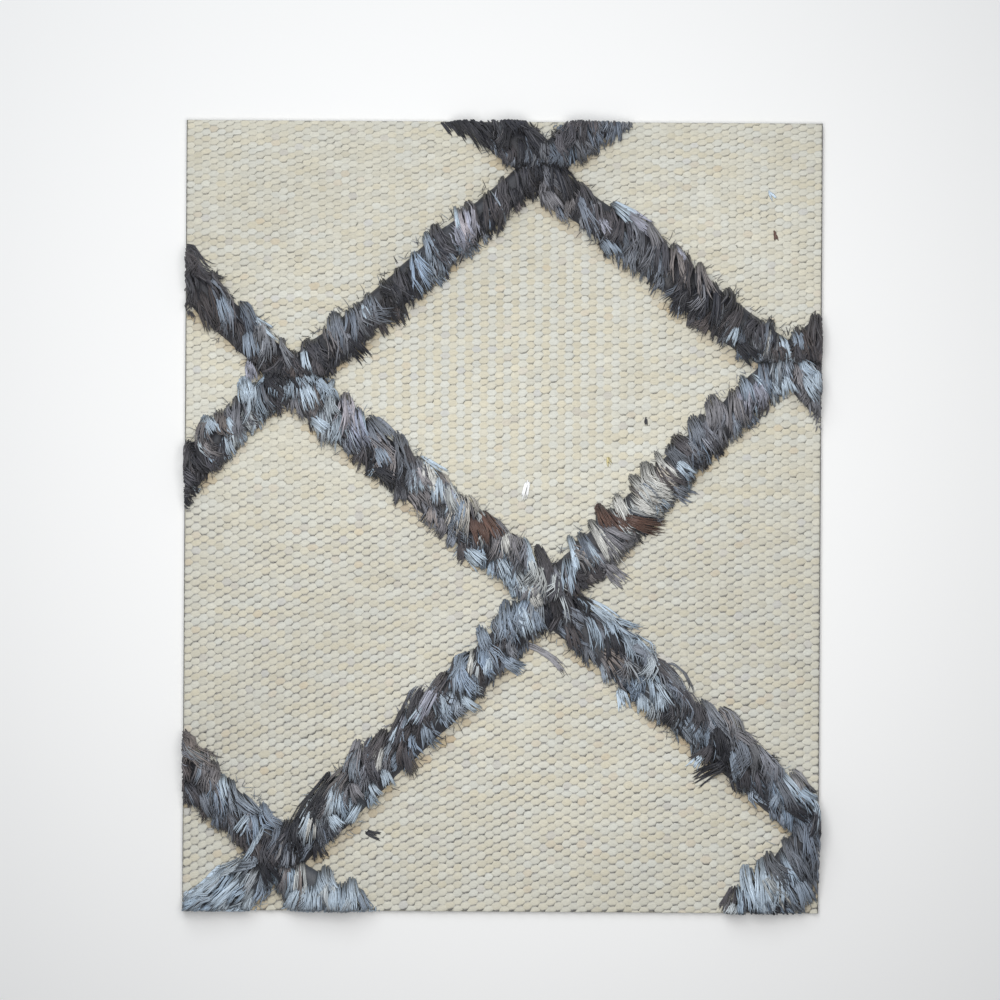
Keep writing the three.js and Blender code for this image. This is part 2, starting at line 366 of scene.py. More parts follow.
def drift(x, y, seed, size):
    """Slow unevenness between about -1 and 1: a sum of six sine waves of differing length and heading."""
    source = np.random.default_rng(seed)
    total = np.zeros(np.broadcast(x, y).shape)
    for angle, phase, pitch in zip(source.uniform(0, 2 * np.pi, 6), source.uniform(0, 2 * np.pi, 6),
                                   source.uniform(0.7, 1.9, 6)):
        total += np.sin((x * np.cos(angle) + y * np.sin(angle)) * 2 * np.pi / (size * pitch) + phase)
    return total / 3.2


def stray(spread, count):
    """Random differences about 0, as normally spread."""
    return rng.normal(0, spread, count)


def from_cut(x, y):
    """How far inside the cut outline places on the rug are."""
    return np.minimum(WIDTH / 2 - np.abs(x), LENGTH / 2 - np.abs(y))


def move_inside(x, y, inset):
    """Places moved so that they are at least inset inside the cut outline."""
    return (np.clip(x, -WIDTH / 2 + inset, WIDTH / 2 - inset),
            np.clip(y, -LENGTH / 2 + inset, LENGTH / 2 - inset))


def ladder(a, b, step):
    """Two triangles for each four-sided cell: its corners are a and b, and those a step further on."""
    first = np.stack([a, b, a + step], -1).reshape(-1, 3)
    second = np.stack([b, b + step, a + step], -1).reshape(-1, 3)
    return np.concatenate([first, second])


def tube_wall(rings, sides):
    """Triangles of a closed wall between rings of points that are numbered ring by ring."""
    ring, side = np.meshgrid(np.arange(rings - 1), np.arange(sides), indexing="ij")
    return ladder(ring * sides + side, ring * sides + (side + 1) % sides, sides)


def make_piece(name, points, triangles, material, colours=None, around_along=None):
    """Points in millimetres and triangles as arrays become one mesh piece that rides on the rug."""
    mesh = bpy.data.meshes.new(name)
    mesh.vertices.add(len(points))
    mesh.vertices.foreach_set("co", (np.asarray(points, np.float32) * MM).ravel())
    mesh.loops.add(3 * len(triangles))
    mesh.loops.foreach_set("vertex_index", np.asarray(triangles, np.int32).ravel())
    mesh.polygons.add(len(triangles))
    mesh.polygons.foreach_set("loop_start", np.arange(0, 3 * len(triangles), 3, dtype=np.int32))
    mesh.update(calc_edges=True)
    mesh.polygons.foreach_set("use_smooth", np.ones(len(triangles), bool))
    if colours is not None:
        field = mesh.attributes.new("wool_tone", "FLOAT_COLOR", "POINT")
        opaque = np.column_stack([colours, np.ones(len(points))])
        field.data.foreach_set("color", opaque.astype(np.float32).ravel())
    if around_along is not None:
        layer = mesh.uv_layers.new(name="along_yarn")
        layer.uv.foreach_set("vector", np.asarray(around_along, np.float32).ravel())
    mesh.materials.append(material)
    piece = bpy.data.objects.new(name, mesh)
    bpy.context.scene.collection.objects.link(piece)
    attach(piece, "root")
    return piece


# Materials

def set_inputs(node, **values):
    """Sets inputs of a shader node by their names, with _ for a space, or links another node's output to
    them."""
    for name, value in values.items():
        entry = node.inputs[name.replace("_", " ")]
        if isinstance(value, bpy.types.NodeSocket):
            node.id_data.links.new(value, entry)
        else:
            entry.default_value = value


def add_node(tree, kind, **values):
    """A new node in a material's tree, with these inputs."""
    node = tree.nodes.new("ShaderNode" + kind)
    set_inputs(node, **values)
    return node


def new_material(name):
    """A new material, its tree and its main shader."""
    material = bpy.data.materials.new(name)
    material.use_nodes = True
    tree = material.node_tree
    return material, tree, tree.nodes["Principled BSDF"]


def wool_material(name, roughness, coordinates, stretch, fleck, bump_depth, sheen):
    """Wool whose colour is the wool_tone attribute, made lighter and darker by stretched fibre noise, which
    also raises the bump. Coordinates are Object ones or the yarn's own UV map."""
    material, tree, shader = new_material(name)
    place = add_node(tree, "TexCoord").outputs[coordinates]
    mapping = add_node(tree, "Mapping", Vector=place, Scale=stretch)
    fibre = add_node(tree, "TexNoise", Vector=mapping.outputs["Vector"], Scale=1.0, Detail=3.0)
    fibre = fibre.outputs["Fac"]
    spread = add_node(tree, "MapRange", Value=fibre, From_Min=0.3, From_Max=0.7,
                      To_Min=1 - fleck, To_Max=1 + fleck)
    tone = add_node(tree, "Attribute")
    tone.attribute_name = "wool_tone"
    shade = add_node(tree, "VectorMath")
    shade.operation = "SCALE"
    set_inputs(shade, Vector=tone.outputs["Color"], Scale=spread.outputs["Result"])
    bump = add_node(tree, "Bump", Height=fibre, Strength=0.6, Distance=bump_depth)
    set_inputs(shader, Base_Color=shade.outputs["Vector"], Normal=bump.outputs["Normal"],
               Roughness=roughness, Sheen_Weight=sheen, Sheen_Roughness=0.5)
    return material


ground_wool = wool_material("cream_weft_wool", 0.9, "Object", (500, 2600, 2600), 0.10, 0.0002, 0.15)
lock_wool = wool_material("mixed_lock_wool", 0.42, "UV", (5.0, 0.9, 1.0), 0.17, 0.0003, 0.1)


def backing_material():
    """Grey-tan wool of the sheet under the beads: plain above, and a brick pattern of small raised ovals on
    the back. The plain tone, darker than the beads, is partly the warps' own colour and partly painted shade
    where it shows between beads, and the dark mortar is painted shade between the ovals."""
    material, tree, shader = new_material("weave_backing")
    place = add_node(tree, "TexCoord").outputs["Object"]
    turn = add_node(tree, "Mapping", Vector=place, Rotation=(0, 0, math.pi / 2))
    # the dark mortar between the ovals is painted shade
    bricks = add_node(tree, "TexBrick", Vector=turn.outputs["Vector"], Color1=(0.60, 0.57, 0.46, 1),
                      Color2=(0.54, 0.52, 0.43, 1), Mortar=(0.16, 0.14, 0.13, 1), Scale=1.0,
                      Mortar_Size=0.0004, Mortar_Smooth=1.0, Brick_Width=0.0048, Row_Height=RIB * MM)
    bricks.offset = 0.5
    # below 0.5 mm the pattern shows, and from 1.2 mm up one plain tone
    height = add_node(tree, "SeparateXYZ", Vector=place).outputs["Z"]
    above = add_node(tree, "MapRange", Value=height, From_Min=0.5 * MM, From_Max=1.2 * MM)
    mix = add_node(tree, "Mix")
    mix.data_type = "RGBA"
    set_inputs(mix, Factor=above.outputs["Result"])
    pattern, plain = (entry for entry in mix.inputs if entry.type == "RGBA")
    tree.links.new(bricks.outputs["Color"], pattern)
    # darker than the beads: partly the warps' own colour, partly painted shade between the beads
    plain.default_value = (0.52, 0.50, 0.43, 1)
    mixed = next(output for output in mix.outputs if output.type == "RGBA")
    bump = add_node(tree, "Bump", Height=bricks.outputs["Fac"], Distance=0.0006)
    bump.invert = True
    set_inputs(shader, Base_Color=mixed, Normal=bump.outputs["Normal"], Roughness=0.95)
    return material


weave_backing = backing_material()


# The ground weave

def weft_places():
    """Places y along the rug, the spacing there between beads of one warp, and how many beads there are up
    to y, which is the sum of 1 / spacing."""
    y = np.linspace(-LENGTH / 2 - 12, LENGTH / 2 + 12, 2200)
    spacing = np.interp(y, [-LENGTH / 2, 0, LENGTH / 2], BEAD_SPACING)
    count = np.concatenate([[0], np.cumsum(np.diff(y) / spacing[1:])])
    return y, spacing, count


def band_frame(band):
    """The band's upper end, the direction down it, the side that its upper rim is on, and its length."""
    high, low = (np.array(POINTS[band[k]], float) for k in ("high", "low"))
    run = low - high
    length = np.hypot(*run)
    down = run / length
    side = np.array([-down[1], down[0]])
    return high, down, side if side[1] > 0 else -side, length


def across_band(band, x, y):
    """Where places lie across the band, 1 at its upper rim and -1 at its lower one, and how far down it, 0
    to 1 between its ends."""
    high, down, side, length = band_frame(band)
    dx, dy = x - high[0], y - high[1]
    along = (dx * down[0] + dy * down[1]) / length
    off = dx * side[0] + dy * side[1]
    upper, lower = rim_distances(band, np.clip(along, 0, 1))
    return np.where(off > 0, off / upper, off / lower), along


def rim_distances(band, share):
    """Distances from the centre line to the upper and the lower rim at each share of the way down a band."""
    return tuple(np.interp(share, np.linspace(0, 1, len(band[k])), band[k]) for k in ("upper", "lower"))


def band_places(band, share, v):
    """The places at each share of the way down a band and at v across it, as across_band measures them."""
    high, down, side, length = band_frame(band)
    upper, lower = rim_distances(band, share)
    off = np.where(v > 0, v * upper, v * lower)
    return high + share[..., None] * length * down + off[..., None] * side


def bead_places():
    """Where the beads are: on each warp one for each weft, half a spacing further on along every second
    warp, with slow unevenness, and none under the middle of a band. Gives their places, the numbers of
    their warps and wefts, the spacing there, and how much painted contact shadow below a band's lower rim
    they have."""
    place, spacing_there, beads_to = weft_places()
    column, pick = np.meshgrid(np.arange(WARPS), np.arange(int(beads_to[-1])), indexing="ij")
    column, pick = column.ravel(), pick.ravel()
    x = -WIDTH / 2 + (column + 0.5) * RIB
    y = np.interp(pick + 0.5 * (column % 2), beads_to, place)
    y = y + 0.6 * drift(x, y, 3, 110) + 0.25 * drift(x, y, 31, 30)
    x = x + 0.15 * drift(x, y, 4, 60)
    hidden, rim_shadow_share = np.zeros(len(x), bool), np.zeros(len(x))
    for band in BANDS:
        v, along = across_band(band, x, y)
        hidden |= (np.abs(v) < 0.6) & (along > 0.02) & (along < 0.98)
        # how deep each bead lies in the painted contact shadow below a band's lower rim
        on_band = (along > 0) & (along < 1) & (v < 0)
        rim_shadow_share = np.maximum(rim_shadow_share, np.where(on_band, smooth_step((1.32 + v) / 0.32), 0))
    keep = (np.abs(y) < LENGTH / 2 + 1.2) & ~hidden
    x, y, column, pick, rim_shadow_share = (a[keep] for a in (x, y, column, pick, rim_shadow_share))
    return x, y, column, pick, np.interp(y, place, spacing_there), rim_shadow_share


def bead_form():
    """A bead's points and triangles: u from -1 to 1 along it, how far each point is across it and up, and
    the rings joined by triangles, with a cap at each end."""
    sides = len(BEAD_ARCH)
    radius = (1 - BEAD_RINGS ** 2) ** 0.85
    u = np.concatenate([np.repeat(BEAD_RINGS, sides), [-1.0, 1.0]])
    across = np.concatenate([np.outer(radius, BEAD_ARCH[:, 0]).ravel(), [0, 0]])
    up = np.concatenate([np.outer(radius ** 0.6, BEAD_ARCH[:, 1]).ravel(), [0, 0]])
    s = np.arange(sides)
    pole = len(BEAD_RINGS) * sides
    last_ring = pole - sides
    first = np.stack([np.full(sides, pole), (s + 1) % sides, s], -1)
    last = np.stack([np.full(sides, pole + 1), last_ring + s, last_ring + (s + 1) % sides], -1)
    return u, across, up, np.concatenate([tube_wall(len(BEAD_RINGS), sides), first, last])


def bead_tones(x, y, column, pick, dense, rim_shadow_share, u, up):
    """Tones of the beads' points: tops lighter as painted highlight, flanks duller as painted shade and
    darker still in painted shade at the gaps, tones that drift along each weft, two wools by turns in the
    upper middle of the rug, the odd slub, and a painted contact shadow below the bands' lower rims."""
    count = len(x)
    # painted highlight and shade: the higher a point on a bead, the more of the light top tone it has
    high = smooth_step((up[None, :] - 0.05) / 0.7)
    top_tone = to_linear(BEAD_TOP)
    # painted shade in the gaps between beads of one warp, less of it where the weave is dense
    gap_shade = ((up < 0.3) & (np.abs(u) < 0.5))[None, :] * (1 - 0.7 * dense)[:, None]
    shaded_flank_tone = to_linear(BEAD_SHADED_FLANK) + gap_shade[..., None] * (to_linear(BEAD_GAP_SHADE) - to_linear(BEAD_SHADED_FLANK))
    weft = 2 * pick + column % 2
    streak = 0.03 * drift(x, weft * 37.0, 8, 130) + 0.025 * rng.standard_normal(count)
    broad = 0.05 * drift(x, y, 9, 170)
    by_turns = 0.45 * (1 - 2 * (column % 2)) * smooth_step(1.3 - np.hypot(x, y - 105) / 110)
    yellow = 0.5 + 0.4 * drift(x, weft * 23.0, 10, 60) + by_turns + 0.15 * rng.standard_normal(count)
    warm = 1 + (to_linear(BEAD_WARM) / top_tone - 1) * np.clip(yellow, 0, 1)[:, None]
    body = top_tone * (1 + (streak + broad)[:, None]) * warm
    slub = rng.random(count)
    body = np.where((slub < 0.02)[:, None], 0.82 * body + 0.18 * to_linear(SLUB_TAN), body)
    body = np.where((slub > 0.975)[:, None], 0.75 * body + 0.25 * to_linear(SLUB_GREY), body)
    tones = shaded_flank_tone + (body[:, None, :] - shaded_flank_tone) * high[..., None]
    # painted contact shadow, blotchy, on the beads just below each band's lower rim
    rim_shadow = rim_shadow_share * np.clip(0.6 + 0.6 * drift(x, y, 14, 16), 0, 1)
    return tones * (1 + (np.array(RIM_SHADOW_TINT) - 1) * rim_shadow[:, None])[:, None, :]


def weft_beads():
    """Each bead is where a weft passes over a warp: a closed oval along X whose half width falls off as
    (1 - u^2)^0.85 towards its ends, u = -1 and 1, and whose height falls more slowly, as that to the 0.6.
    Its section is a five-sided arch, and small random steps make it uneven."""
    x, y, column, pick, spacing, rim_shadow_share = bead_places()
    u, across, up, shape = bead_form()
    count = len(x)
    half_length = BEAD_HALF_LENGTH * RIB * (1 + 0.06 * rng.standard_normal(count))
    dense = smooth_step((y - DENSE_FROM) / DENSE_OVER)
    half_width = (BEAD_HALF_WIDTH + DENSE_WIDER * dense) * spacing * (1 + 0.05 * rng.standard_normal(count))
    half_height = (BEAD_HALF_HEIGHT - DENSE_LOWER * dense) * (1 + 0.05 * rng.standard_normal(count))
    level = WEAVE_TOP - BEAD_SINK + 0.05 * rng.standard_normal(count) + 0.14 * drift(x, y, 5, 70)
    slant = BEAD_SLANT + NEAR_LEFT_SLANT * smooth_step(-y / 150) * smooth_step(0.5 - x / 200)
    turn = np.radians(slant + stray(4.0, count) + 3.0 * drift(x, y, 6, 120))[:, None]
    uneven = stray(0.05, (3, count, len(u)))
    local_x = half_length[:, None] * (u + uneven[0])
    local_y = half_width[:, None] * (across + uneven[1])
    px = x[:, None] + local_x * np.cos(turn) - local_y * np.sin(turn)
    py = y[:, None] + local_x * np.sin(turn) + local_y * np.cos(turn)
    z = level[:, None] + half_height[:, None] * (up + 0.6 * uneven[2]) - 0.25 * u ** 2
    px, py = move_inside(px, py, 0.1)
    points = np.stack([px, py, np.maximum(z, 0.2)], -1)
    tones = bead_tones(x, y, column, pick, dense, rim_shadow_share, u, up)
    half = count // 2
    pieces = []
    for name, part in (("weft_beads_left", slice(0, half)), ("weft_beads_right", slice(half, count))):
        p = points[part]
        triangles = shape[None] + (np.arange(len(p)) * len(u))[:, None, None]
        pieces.append(make_piece(name, p.reshape(-1, 3), triangles.reshape(-1, 3), ground_wool,
                                 tones[part].reshape(-1, 3)))
    return pieces


def ground_sheet():
    """The cloth under the beads: one closed sheet whose upper face rises over each warp as a half wave, and
    more along both sides, and whose sides and ends are cut straight."""
    across = np.linspace(-WIDTH / 2, WIDTH / 2, WARPS * SHEET_STEPS_PER_RIB + 1)
    along = np.linspace(-LENGTH / 2, LENGTH / 2, SHEET_STATIONS)
    x, y = np.meshgrid(across, along, indexing="ij")
    ribs = SHEET_RIB * np.abs(np.sin(np.pi * (x + WIDTH / 2) / RIB))
    top = SHEET_TOP + ribs + 0.1 * drift(x, y, 11, 80)
    top[[0, -1]] += SHEET_EDGE_RISE
    upper = np.stack([x, y, top], -1)
    under = np.stack([x, y, np.zeros_like(x)], -1)
    ring = np.concatenate([upper, under[::-1]], 0)
    sides, stations = ring.shape[:2]
    i, j = np.meshgrid(np.arange(sides), np.arange(stations - 1), indexing="ij")
    wall = ladder(i * stations + j, ((i + 1) % sides) * stations + j, 1)
    above = np.arange(len(across) - 1)
    below = sides - 1 - above
    caps = []
    for station, flip in ((0, False), (stations - 1, True)):
        p, q = above * stations + station, (above + 1) * stations + station
        r, s = below * stations + station, (below - 1) * stations + station
        quads = [np.stack([p, r, q], -1), np.stack([q, r, s], -1)]
        caps += [t[:, ::-1] if flip else t for t in quads]
    return make_piece("ground_sheet", ring.reshape(-1, 3), np.concatenate([wall] + caps), weave_backing)


# The pile

def tones_along(row, share, spread):
    """The tone at each share of the way down a band, from its row of letters, read by chance some letters
    off."""
    colours = np.array([to_linear(TONES[letter]) for letter in row])
    at = np.floor(share * len(row) + stray(spread, len(share))).astype(int)
    return colours[np.clip(at, 0, len(row) - 1)]


def pile_height(v):
    """Domed section of the pile: its rise times (1 - |v|^2.6)^0.6, which is nothing at both rims."""
    return PILE_RISE * np.clip(1 - np.abs(v) ** 2.6, 0, 1) ** 0.6


def meets_outline(point):
    """Whether a named point is where a band is cut by the rug's outline. The others are crossings."""
    return point.startswith(("end", "side"))


def overruns(band):
    """How far above its upper point and below its lower one a band is combed: past the outline where it
    meets it, so that the cut shows its whole width, and a little past a crossing that it starts from."""
    before = OVERRUN if meets_outline(band["high"]) else CROSSING_OVERRUN
    after = OVERRUN if meets_outline(band["low"]) else 0.0
    return before, after


def over_crossing(band, along):
    """How much of the lift over a crossing the pile has at each share of the way down a band: it comes over
    the last 16 mm of a band whose lower end hangs over one."""
    if meets_outline(band["low"]):
        return 0.0
    length = band_frame(band)[3]
    return np.clip(1 - (1 - along) * length / LIFT_OVER, 0, 1)


def dome_mat(band):
    """Underwool of a band, whose dark colour is painted shade for the gaps between its locks: a low closed
    mound, with an arch for its section and a flat underside.
    Within 9 mm of the cut it gets lower, so that the locks hide its ends."""
    down, side, length = band_frame(band)[1:]
    before, after = overruns(band)
    v = np.linspace(-MAT_WIDTH, MAT_WIDTH, 9)
    # each line along the mound runs between the first and the last of its places that lie on the rug
    fine = np.repeat(np.linspace(-before / length, 1 + after / length, 400)[:, None], len(v), 1)
    on_rug = from_cut(*np.moveaxis(band_places(band, fine, v), -1, 0)) > EDGE_INSET
    first = np.take_along_axis(fine, on_rug.argmax(0)[None], 0)
    last = np.take_along_axis(fine, len(fine) - 1 - on_rug[::-1].argmax(0)[None], 0)
    share = first + (last - first) * np.linspace(0, 1, max(6, int(length / 5)))[:, None]
    x, y = np.moveaxis(band_places(band, share, v), -1, 0)
    low_end = 0.35 + 0.65 * smooth_step(from_cut(x, y) / 9)
    rise = MAT_RISE * low_end * pile_height(v / MAT_WIDTH)[None, :]
    top = MAT_BASE + 0.2 + rise + 0.5 * drift(x, y, 12, 14)
    under = np.stack([x, y, np.full_like(x, MAT_BASE)], -1)[:, ::-1]
    ring = np.concatenate([np.stack([x, y, top], -1), under], 1)
    n, m = ring.shape[:2]
    wall = tube_wall(n, m)[:, [0, 2, 1]]  # these rings go round the other way
    k = np.arange(len(v) - 1)
    cap = np.concatenate([np.stack(t, -1) for t in ([k, k + 1, m - 1 - k], [k + 1, m - 2 - k, m - 1 - k])])
    triangles = np.concatenate([wall, cap, cap[:, ::-1] + (n - 1) * m])
    if down[0] * side[1] < down[1] * side[0]:
        triangles = triangles[:, ::-1]
    return ring.reshape(-1, 3), triangles


def walk(root, start, end, length, sway, phase):
    """Plan of each strand: from its root it walks its length while its heading turns evenly from start to
    end, with a slow sine added."""
    s = np.linspace(0, 1, PATH_STEPS)
    heading = (start[:, None] + (end - start)[:, None] * s
               + sway[:, None] * np.sin(2 * np.pi * (1.2 * s + phase[:, None])))
    step = length[:, None] / (PATH_STEPS - 1)
    still = np.zeros((len(root), 1))
    x = root[:, :1] + np.concatenate([still, np.cumsum((np.cos(heading) * step)[:, 1:], 1)], 1)
    y = root[:, 1:] + np.concatenate([still, np.cumsum((np.sin(heading) * step)[:, 1:], 1)], 1)
    return x, y


def allowed_stretch(allowed):
    """The first stretch of each strand whose steps are all allowed, as shares of its length."""
    first = allowed.argmax(1)
    after = allowed | (np.arange(PATH_STEPS) < first[:, None])
    last = np.where(after.all(1), PATH_STEPS, (~after).argmax(1)) - 1
    none = ~allowed.any(1)
    return np.where(none, 0, first) / (PATH_STEPS - 1), np.where(none, 0, last) / (PATH_STEPS - 1)


def at_share(values, share):
    """Values of the walked path at shares of it, read between steps."""
    at = np.clip(share, 0, 1) * (PATH_STEPS - 1)
    low = np.minimum(at.astype(int), PATH_STEPS - 2)
    f = at - low
    return np.take_along_axis(values, low, 1) * (1 - f) + np.take_along_axis(values, low + 1, 1) * f


def trim(x, y, allowed=True):
    """The first stretch of each walked strand that is allowed and on the rug: the shares of its length where
    its rings and its tip are, their places, and the share that is left."""
    enter, leave = allowed_stretch(allowed & (from_cut(x, y) > EDGE_INSET))
    shares = enter[:, None] + STATIONS[None, :] * (leave - enter)[:, None]
    return shares, at_share(x, shares), at_share(y, shares), leave - enter


def risen(shares, lengths):
    """How far a strand has risen at shares of its length: 1 - (1 - s)^2, where s goes from 0 to 1 over its
    first 4 mm."""
    return 1 - (1 - np.clip(shares * lengths[:, None] / RISE_OVER, 0, 1)) ** 2


def highlight_along(middle, spread):
    """How much of a strand's own tone shows at each of its rings and its tip: all of it at the share of its
    length that middle gives, and the exponential of minus the squared distance, in spreads, elsewhere. This
    lays a painted highlight along each strand, and painted shade towards its ends."""
    return np.exp(-((STATIONS[None, :] - middle[:, None]) / spread) ** 2)


def strand_mesh(x, y, z, width, colours, own):
    """Three-sided tubes along paths of four rings and a tip: the ridge of each tube faces up, and its radius
    is half its width times a profile that swells after the root. Where own is 1 a strand has its own colour,
    and towards 0 it fades into painted shade, a dull mix of that colour with the painted lock shade."""
    count, rings = len(x), len(STRAND_RINGS)
    path = np.stack([x, y, z], -1)
    body, tip = path[:, :rings], path[:, rings]
    tangent = np.diff(path, axis=1)
    tangent = np.concatenate([tangent[:, :1], (tangent[:, :-1] + tangent[:, 1:])], 1)
    tangent /= np.linalg.norm(tangent, axis=-1, keepdims=True) + 1e-9
    lateral = np.cross(tangent, [0, 0, 1.0])
    lateral /= np.linalg.norm(lateral, axis=-1, keepdims=True) + 1e-9
    normal = np.cross(lateral, tangent)
    profile = np.array([0.8, 1.0, 0.95, 0.65])
    r = 0.5 * width[:, None, None, None] * profile[None, :, None, None]
    angle = np.radians([90.0, 210.0, 330.0])
    spoke = (np.cos(angle)[None, None, :, None] * lateral[:, :, None, :]
             + np.sin(angle)[None, None, :, None] * normal[:, :, None, :] * 0.4)
    ring_points = body[:, :, None, :] + r * spoke
    points = np.concatenate([ring_points.reshape(count, -1, 3), tip[:, None, :]], 1)
    painted_shade_mix = 0.28 * colours + 0.6 * to_linear(PAINTED_LOCK_SHADE)
    tones = painted_shade_mix[:, None, :] + (colours - painted_shade_mix)[:, None, :] * own[..., None]
    tones = np.concatenate([np.repeat(tones[:, :rings], 3, axis=1), tones[:, rings:]], 1)
    per = 3 * rings + 1
    last = 3 * (rings - 1)
    tip_faces = [[last + k, last + (k + 1) % 3, per - 1] for k in range(3)]
    shape = np.concatenate([tube_wall(rings, 3), tip_faces, [[0, 2, 1]]])
    station = np.concatenate([np.repeat(np.arange(rings), 3), [rings]])
    u = np.concatenate([np.tile([0.0, 1 / 3, 2 / 3], rings), [0.5]])[shape]
    u = np.where((u == 0) & (u.max(1, keepdims=True) > 0.6), 1.0, u)
    uv = np.stack([u, STATIONS[station][shape]], -1)
    triangles = (shape[None] + (np.arange(count) * per)[:, None, None]).reshape(-1, 3)
    uvs = (uv[None] + rng.uniform(0, 60, (count, 1, 1, 2))).reshape(-1, 2)
    return points.reshape(-1, 3), triangles, tones.reshape(-1, 3), uvs


def lay(band, x, y, lengths, level, raised, allowed=True):
    """Heights for walked strands: each rises from the weave, follows the domed pile at its own level, and is
    lifted where the band's end hangs over a crossing. Gives the laid paths and a mask of those long enough
    to keep."""
    shares, xs, ys, left = trim(x, y, allowed)
    v, along = across_band(band, xs, ys)
    rise = risen(shares, lengths)
    z = ROOT_LEVEL + rise * (level * pile_height(v) + 0.9 + raised[:, None])
    z += rise * CROSSING_LIFT * over_crossing(band, along)
    z = np.maximum(z, ROOT_LEVEL + 0.8 * rise)
    return xs, ys, z, left * lengths > 3.0


def comb_locks(band, layer, row):
    """One row of locks on a band. A lock is some wisps side by side, and a wisp some strands that draw
    together towards the tip. Each lock is rooted, combed and toned by its place on the band and curls as a
    whole, and each wisp strays."""
    length = band_frame(band)[3]
    before, after = overruns(band)
    whole = before + length + after
    count = max(2, int(round(whole / LOCK_SPACING)))
    at = (np.arange(count) + 0.5 + row / 3 + rng.uniform(-0.4, 0.4, count)) / count
    share = (-before + whole * at) / length
    root = band_places(band, share, layer["root"] + stray(0.15, count))
    start, end = (np.interp(share, np.linspace(0, 1, len(band[k])), band[k]) for k in ("root", "tip"))
    hangs = not meets_outline(band["low"])
    if hangs:
        near = smooth_step((share * length - (length - TURN_FROM)) / TURN_OVER)
        start += (CROSSING[0] - start) * near
        end += (CROSSING[1] - end) * near
    start = np.radians(start + stray(11, count))
    end = np.radians(end + stray(24, count))
    size = layer["length"] * rng.uniform(0.8, 1.15, count)
    lift = rng.uniform(-1.1, 1.1, count)
    # wisps of each lock
    lock = np.repeat(np.arange(count), WISPS)
    n = len(lock)
    middle = np.tile(np.linspace(-0.85, 0.85, WISPS), count) + stray(0.12, n)
    wisp_start = start[lock] + stray(0.09, n)
    wisp_end = end[lock] + stray(0.20, n)
    wisp_size = size[lock] * (1 + 0.13 * rng.standard_normal(n))
    wisp_lift = lift[lock] + stray(0.4, n)
    # where along each wisp its painted highlight lies; towards both ends of its strands painted shade takes
    # over
    wisp_highlight = rng.uniform(0.30, 0.74, count)[lock] + stray(0.07, n)
    wisp_sway, wisp_phase = stray(0.12, n), rng.random(n)
    lock_sway = curl_rng.normal(0, 0.30, count)[lock]
    together = curl_rng.random(count)[lock] + 0.12 * wisp_phase
    wisp_phase = np.where(np.abs(lock_sway) > 0.15, together, wisp_phase)
    wisp_sway = wisp_sway + lock_sway
    mixed = rng.random(n) < 0.16
    letters = band[layer["tones"]]
    tone = np.where(mixed[:, None], tones_along(letters, share[lock], 2.0),
                    tones_along(letters, share, 0.35)[lock])
    tone = tone * np.exp(stray(0.12, n) + stray(0.20, count)[lock])[:, None]
    tone = tone * (1 + np.maximum(stray(0.06, count), -0.06)[lock, None] * [1, 0, -1])
    # strands of each wisp
    wisp = np.repeat(np.arange(n), WISP_STRANDS)
    n = len(wisp)
    off_line = stray(0.13, n)
    w = middle[wisp] + off_line
    depth = rng.random(n)
    head = wisp_start[wisp]
    left_of = np.stack([-np.sin(head), np.cos(head)], -1)
    ahead = np.stack([np.cos(head), np.sin(head)], -1)
    roots = (root[lock[wisp]] + left_of * (w * LOCK_HALF_ROOT)[:, None]
             + ahead * (rng.uniform(-1.8, 1.8, n) + 2.4 * w ** 2)[:, None])
    fan = np.radians(LOCK_FAN)
    a = head + w * fan + stray(0.04, n)
    b = wisp_end[wisp] + w * fan * 0.5 - off_line * 0.9 + stray(0.05, n)
    lengths = wisp_size[wisp] * (1 + 0.09 * rng.standard_normal(n) - 0.05 * depth) * (1 - 0.16 * w ** 2)
    x, y = walk(roots, a, b, lengths, wisp_sway[wisp], wisp_phase[wisp])
    # no strand goes far past the lower rim, nor past a crossing that the band hangs over
    reach = -1.10 + stray(0.14, count)[lock] + stray(0.08, len(middle))
    allowed = across_band(band, x, y)[0] > reach[wisp][:, None]
    if hangs:
        lowest = POINTS[band["low"]][1] - 1.0 + stray(0.9, len(middle))[wisp]
        allowed &= y > lowest[:, None]
    raised = LOCK_CROWN * (1 - w ** 2) - 0.5 * depth + wisp_lift[wisp]
    xs, ys, z, keep = lay(band, x, y, lengths, layer["level"], raised, allowed)
    strand_tone = tone[wisp] * np.exp(stray(0.07, n))[:, None]
    dark = rng.random(n) < 0.05
    strand_tone[dark] = to_linear(TONES["K"]) * 1.4
    pale = rng.random(n) < 0.10
    strand_tone[pale] = 0.65 * strand_tone[pale] + 0.35 * to_linear(TONES["N"])
    strand_tone = strand_tone * np.minimum(1, BRIGHTEST / strand_tone.max(1, keepdims=True))
    width = STRAND_WIDTH * rng.uniform(0.75, 1.25, n)
    own = highlight_along(wisp_highlight[wisp] + stray(0.05, n), 0.43)
    return tuple(a[keep] for a in (xs, ys, z, width, strand_tone, own))


def pile_top(x, y):
    """How high the pile stands above the weave at places on the rug: the highest of all the bands there,
    each lifted where its end hangs over a crossing."""
    top = np.zeros_like(x)
    for band in BANDS:
        v, along = across_band(band, x, y)
        length = band_frame(band)[3]
        before, after = overruns(band)
        on_band = (along * length > -before) & ((along - 1) * length < after) & (np.abs(v) < 1)
        height = pile_height(v) + CROSSING_LIFT * over_crossing(band, along)
        top = np.maximum(top, np.where(on_band, height, 0))
    return top


